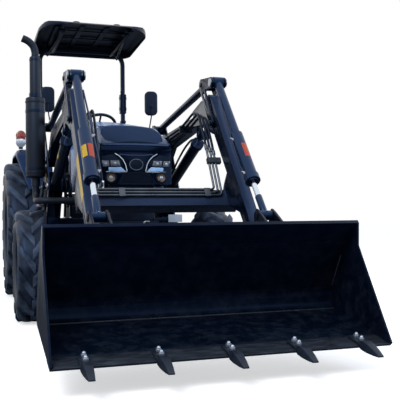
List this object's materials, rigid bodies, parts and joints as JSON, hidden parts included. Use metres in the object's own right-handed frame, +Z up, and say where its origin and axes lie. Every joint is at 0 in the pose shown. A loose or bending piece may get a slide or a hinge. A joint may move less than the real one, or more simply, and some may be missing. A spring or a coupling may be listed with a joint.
{
  "type": "compact tractor with front loader",
  "caption": "Open-station utility tractor with a roll bar and sun canopy, and a self-levelling front loader that carries a toothed bucket.",
  "frame": {"origin": "on the ground, in the middle of the machine's length and width", "axes": "+Z up, +Y towards the rear, so the machine drives towards -Y, and +X is its left side"},
  "size_m": [1.7, 5.5437, 2.6851],
  "materials": {
    "black_paint": "gloss",
    "black_satin": "satin",
    "black_plastic": "matte",
    "hood_paint": "gloss",
    "tyre_rubber": "matte",
    "rim_paint": "satin",
    "chrome": "polished",
    "worn_steel": "worn",
    "cast_iron": "rough",
    "zinc_pipe": "satin",
    "lamp_lens": "gloss",
    "red_lens": "gloss",
    "seat_vinyl": "matte",
    "grip_rubber": "matte"
  },
  "bodies": {
    "chassis": {"canopy": "black_plastic", "canopy_brackets": "black_satin", "dashboard": "black_plastic", "drawbar": "black_paint", "engine_block": "cast_iron", "exhaust_downpipe": "black_satin", "exhaust_outlet": "black_satin", "fenders": "hood_paint", "fog_lamps": "lamp_lens", "front_axle": "cast_iron", "front_frame": "cast_iron", "front_grille": "black_plastic", "headlamps": "lamp_lens", "hood": "hood_paint", "loader_masts": "black_paint", "mast_brackets": "black_paint", "mirrors": "black_plastic", "muffler": "black_satin", "nose": "hood_paint", "platform": "black_satin", "radiator": "cast_iron", "rear_axle": "cast_iron", "roll_bar": "black_satin", "seat_backrest": "seat_vinyl", "seat_base": "black_satin", "seat_cushion": "seat_vinyl", "tail_lamps": "red_lens", "top_link": "black_paint", "transmission_housing": "cast_iron"},
    "rear_wheel_left": {"rear_tyre_left": "tyre_rubber", "rear_rim_left": "rim_paint"},
    "rear_wheel_right": {"rear_tyre_right": "tyre_rubber", "rear_rim_right": "rim_paint"},
    "front_wheel_left": {"front_tyre_left": "tyre_rubber", "front_rim_left": "rim_paint"},
    "front_wheel_right": {"front_tyre_right": "tyre_rubber", "front_rim_right": "rim_paint"},
    "knuckle_left": {"knuckle_left": "cast_iron"},
    "knuckle_right": {"knuckle_right": "cast_iron"},
    "steering_wheel": {"steering_wheel": "grip_rubber"},
    "boom": {"boom": "black_paint", "boom_hoses": "grip_rubber", "boom_pipes": "zinc_pipe"},
    "levelling_rods": {"levelling_rods": "black_paint"},
    "cranks": {"cranks": "black_paint"},
    "tilt_pins": {"tilt_pins": "worn_steel"},
    "tilt_barrels": {"tilt_barrels": "black_paint"},
    "tilt_rods": {"tilt_rods": "chrome"},
    "bucket_pins": {"bucket_pins": "worn_steel"},
    "bucket": {"bucket": "black_paint", "cutting_edge": "worn_steel", "bucket_teeth": "worn_steel"},
    "lift_barrels": {"lift_barrels": "black_paint"},
    "lift_rods": {"lift_rods": "chrome"},
    "lower_links": {"lower_links": "black_paint"},
    "lift_arms": {"lift_arms": "black_paint"},
    "hitch_rods": {"hitch_rods": "black_paint"}
  },
  "joints": [
    {"name": "rear_wheel_left_spin", "type": "hinge", "parent": "chassis", "child": "rear_wheel_left", "pos_m": [0.66, 1.82128, 0.68], "axis": [1, 0, 0], "continuous": true},
    {"name": "rear_wheel_right_spin", "type": "hinge", "parent": "chassis", "child": "rear_wheel_right", "pos_m": [-0.66, 1.82128, 0.68], "axis": [1, 0, 0], "continuous": true},
    {"name": "steer_left", "type": "hinge", "parent": "chassis", "child": "knuckle_left", "pos_m": [0.585, -0.16872, 0.425], "axis": [0, 0, 1], "range_deg": [-35, 35]},
    {"name": "steer_right", "type": "hinge", "parent": "chassis", "child": "knuckle_right", "pos_m": [-0.585, -0.16872, 0.425], "axis": [0, 0, 1], "range_deg": [-35, 35]},
    {"name": "front_wheel_left_spin", "type": "hinge", "parent": "knuckle_left", "child": "front_wheel_left", "pos_m": [0.74, -0.16872, 0.425], "axis": [1, 0, 0], "continuous": true},
    {"name": "front_wheel_right_spin", "type": "hinge", "parent": "knuckle_right", "child": "front_wheel_right", "pos_m": [-0.74, -0.16872, 0.425], "axis": [1, 0, 0], "continuous": true},
    {"name": "steering_wheel_turn", "type": "hinge", "parent": "chassis", "child": "steering_wheel", "pos_m": [0, 0.98128, 1.665], "axis": [0, 0.5736, 0.8192], "range_deg": [-420, 420]},
    {"name": "boom_lift", "type": "hinge", "parent": "chassis", "child": "boom", "pos_m": [0, 0.40128, 1.28], "axis": [-1, 0, 0], "range_deg": [-1.5, 58]},
    {"name": "levelling_rod_swing", "type": "hinge", "parent": "chassis", "child": "levelling_rods", "pos_m": [0, 0.62128, 1.59], "axis": [-1, 0, 0], "range_deg": [-1.5, 58]},
    {"name": "crank_level", "type": "hinge", "parent": "boom", "child": "cranks", "pos_m": [0, -1.01872, 1.445], "axis": [-1, 0, 0], "range_deg": [-58, 1.5]},
    {"name": "tilt_pin_turn", "type": "hinge", "parent": "cranks", "child": "tilt_pins", "pos_m": [0, -1.01872, 1.735], "axis": [-1, 0, 0], "range_deg": [-1.5, 58]},
    {"name": "tilt_barrel_swing", "type": "hinge", "parent": "tilt_pins", "child": "tilt_barrels", "pos_m": [0, -1.01872, 1.735], "axis": [-1, 0, 0], "range_deg": [-2.39, 5.01]},
    {"name": "tilt_rod_slide", "type": "slide", "parent": "tilt_barrels", "child": "tilt_rods", "axis": [0, -0.6554, -0.7553], "range_m": [-0.07343, 0.15419]},
    {"name": "bucket_pin_level", "type": "hinge", "parent": "boom", "child": "bucket_pins", "pos_m": [0, -1.83872, 0.5], "axis": [-1, 0, 0], "range_deg": [-58, 1.5]},
    {"name": "bucket_curl", "type": "hinge", "parent": "bucket_pins", "child": "bucket", "pos_m": [0, -1.83872, 0.5], "axis": [-1, 0, 0], "range_deg": [-42, 20]},
    {"name": "lift_barrel_swing", "type": "hinge", "parent": "chassis", "child": "lift_barrels", "pos_m": [0, 0.24128, 1.055], "axis": [-1, 0, 0], "range_deg": [-1.45, 56]},
    {"name": "lift_rod_slide", "type": "slide", "parent": "lift_barrels", "child": "lift_rods", "axis": [0, -0.9363, 0.3511], "range_m": [-0.00678, 0.26166]},
    {"name": "hitch_lift", "type": "hinge", "parent": "chassis", "child": "lower_links", "pos_m": [0, 1.94128, 0.43], "axis": [1, 0, 0], "range_deg": [-12, 30]},
    {"name": "rockshaft_turn", "type": "hinge", "parent": "chassis", "child": "lift_arms", "pos_m": [0, 1.97128, 0.985], "axis": [1, 0, 0], "range_deg": [-16.97, 42.42]},
    {"name": "hitch_rod_swing", "type": "hinge", "parent": "lift_arms", "child": "hitch_rods", "pos_m": [0, 2.23128, 0.985], "axis": [1, 0, 0], "range_deg": [-41.74, 16.7]}
  ],
  "couplings": [
    {"joint": "steer_right", "follows": "steer_left", "ratio": 1},
    {"joint": "steering_wheel_turn", "follows": "steer_left", "ratio": 12},
    {"joint": "levelling_rod_swing", "follows": "boom_lift", "ratio": 1},
    {"joint": "crank_level", "follows": "boom_lift", "ratio": -1},
    {"joint": "tilt_pin_turn", "follows": "boom_lift", "ratio": 1},
    {"joint": "tilt_barrel_swing", "follows": "bucket_curl", "ratio": -0.11931},
    {"joint": "tilt_rod_slide", "follows": "bucket_curl", "m_per_rad": -0.21033},
    {"joint": "bucket_pin_level", "follows": "boom_lift", "ratio": -1},
    {"joint": "lift_barrel_swing", "follows": "boom_lift", "ratio": 0.96554},
    {"joint": "lift_rod_slide", "follows": "boom_lift", "m_per_rad": 0.25847},
    {"joint": "rockshaft_turn", "follows": "hitch_lift", "ratio": 1.4139},
    {"joint": "hitch_rod_swing", "follows": "hitch_lift", "ratio": -1.3915}
  ]
}
